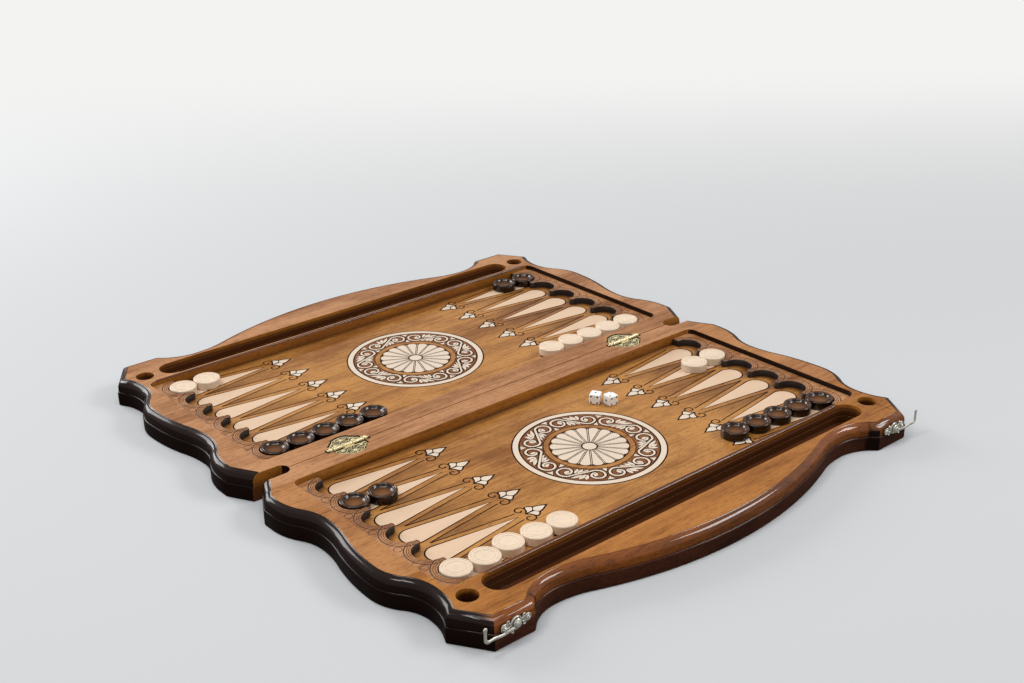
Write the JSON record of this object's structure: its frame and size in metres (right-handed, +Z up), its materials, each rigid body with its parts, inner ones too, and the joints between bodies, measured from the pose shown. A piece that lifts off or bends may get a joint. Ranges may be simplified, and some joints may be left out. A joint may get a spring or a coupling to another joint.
{
  "type": "backgammon board",
  "caption": "Folding carved wooden backgammon case, open flat, with wavy edges, scalloped checker seats, inlaid points, troughs, hinges, swing-hook latches, checkers and dice.",
  "frame": {"origin": "middle of the hinge line, on the underside that lies on the table", "axes": "+X along the hinge line, +Y from the front leaf to the rear leaf, +Z up out of the field"},
  "size_m": [0.6, 0.667, 0.0305],
  "materials": {
    "stained_rail": "satin stain with wax",
    "field_board": "glossy lacquer",
    "pale_inlay": "glossy lacquer",
    "dark_checker": "glossy lacquer",
    "light_checker": "satin lacquer",
    "aged_brass": "cast, antique",
    "aged_silver": "cast, antique",
    "die": "polished"
  },
  "bodies": {
    "rear_leaf": {"rear_base_board": "field_board", "rear_hinge_rail": "stained_rail", "rear_outer_rail": "stained_rail", "rear_left_end_rail": "stained_rail", "rear_right_end_rail": "stained_rail", "rear_left_ledge": "stained_rail", "rear_right_ledge": "stained_rail", "rear_left_points": "pale_inlay", "rear_right_points": "pale_inlay", "rear_left_finials": "pale_inlay", "rear_right_finials": "pale_inlay", "rear_rosette_ring": "pale_inlay", "rear_rosette_fan": "pale_inlay", "left_hinge_rear_leaf": "aged_brass", "right_hinge_rear_leaf": "aged_brass", "left_hinge_pin": "aged_brass", "right_hinge_pin": "aged_brass", "rear_hinge_screws": "aged_brass", "left_catch_peg": "aged_silver", "right_catch_peg": "aged_silver", "rear_left_dark_checkers": "dark_checker", "rear_left_light_checkers": "light_checker", "rear_right_light_checkers": "light_checker", "rear_right_dark_checkers": "dark_checker"},
    "front_leaf": {"front_base_board": "field_board", "front_hinge_rail": "stained_rail", "front_outer_rail": "stained_rail", "front_left_end_rail": "stained_rail", "front_right_end_rail": "stained_rail", "front_left_ledge": "stained_rail", "front_right_ledge": "stained_rail", "front_left_points": "pale_inlay", "front_right_points": "pale_inlay", "front_left_finials": "pale_inlay", "front_right_finials": "pale_inlay", "front_rosette_ring": "pale_inlay", "front_rosette_fan": "pale_inlay", "left_hinge_front_leaf": "aged_brass", "right_hinge_front_leaf": "aged_brass", "front_hinge_screws": "aged_brass", "left_latch_plate": "aged_silver", "right_latch_plate": "aged_silver", "left_latch_rivet": "aged_silver", "right_latch_rivet": "aged_silver", "latch_screws": "aged_silver", "front_left_dark_checkers": "dark_checker", "front_left_light_checkers": "light_checker", "front_right_light_checkers": "light_checker", "front_right_dark_checkers": "dark_checker", "left_die": "die", "right_die": "die"},
    "left_hook": {"left_latch_hook": "aged_silver"},
    "right_hook": {"right_latch_hook": "aged_silver"}
  },
  "joints": [
    {"name": "fold", "type": "hinge", "parent": "rear_leaf", "child": "front_leaf", "pos_m": [0, 0, 0.0282], "axis": [-1, 0, 0], "range_deg": [0, 180]},
    {"name": "left_hook_swing", "type": "hinge", "parent": "front_leaf", "child": "left_hook", "pos_m": [-0.24475, -0.3177, 0.0185], "axis": [0, 1, 0], "range_deg": [-20, 90]},
    {"name": "right_hook_swing", "type": "hinge", "parent": "front_leaf", "child": "right_hook", "pos_m": [0.24475, -0.3177, 0.0185], "axis": [0, -1, 0], "range_deg": [-20, 90]}
  ]
}
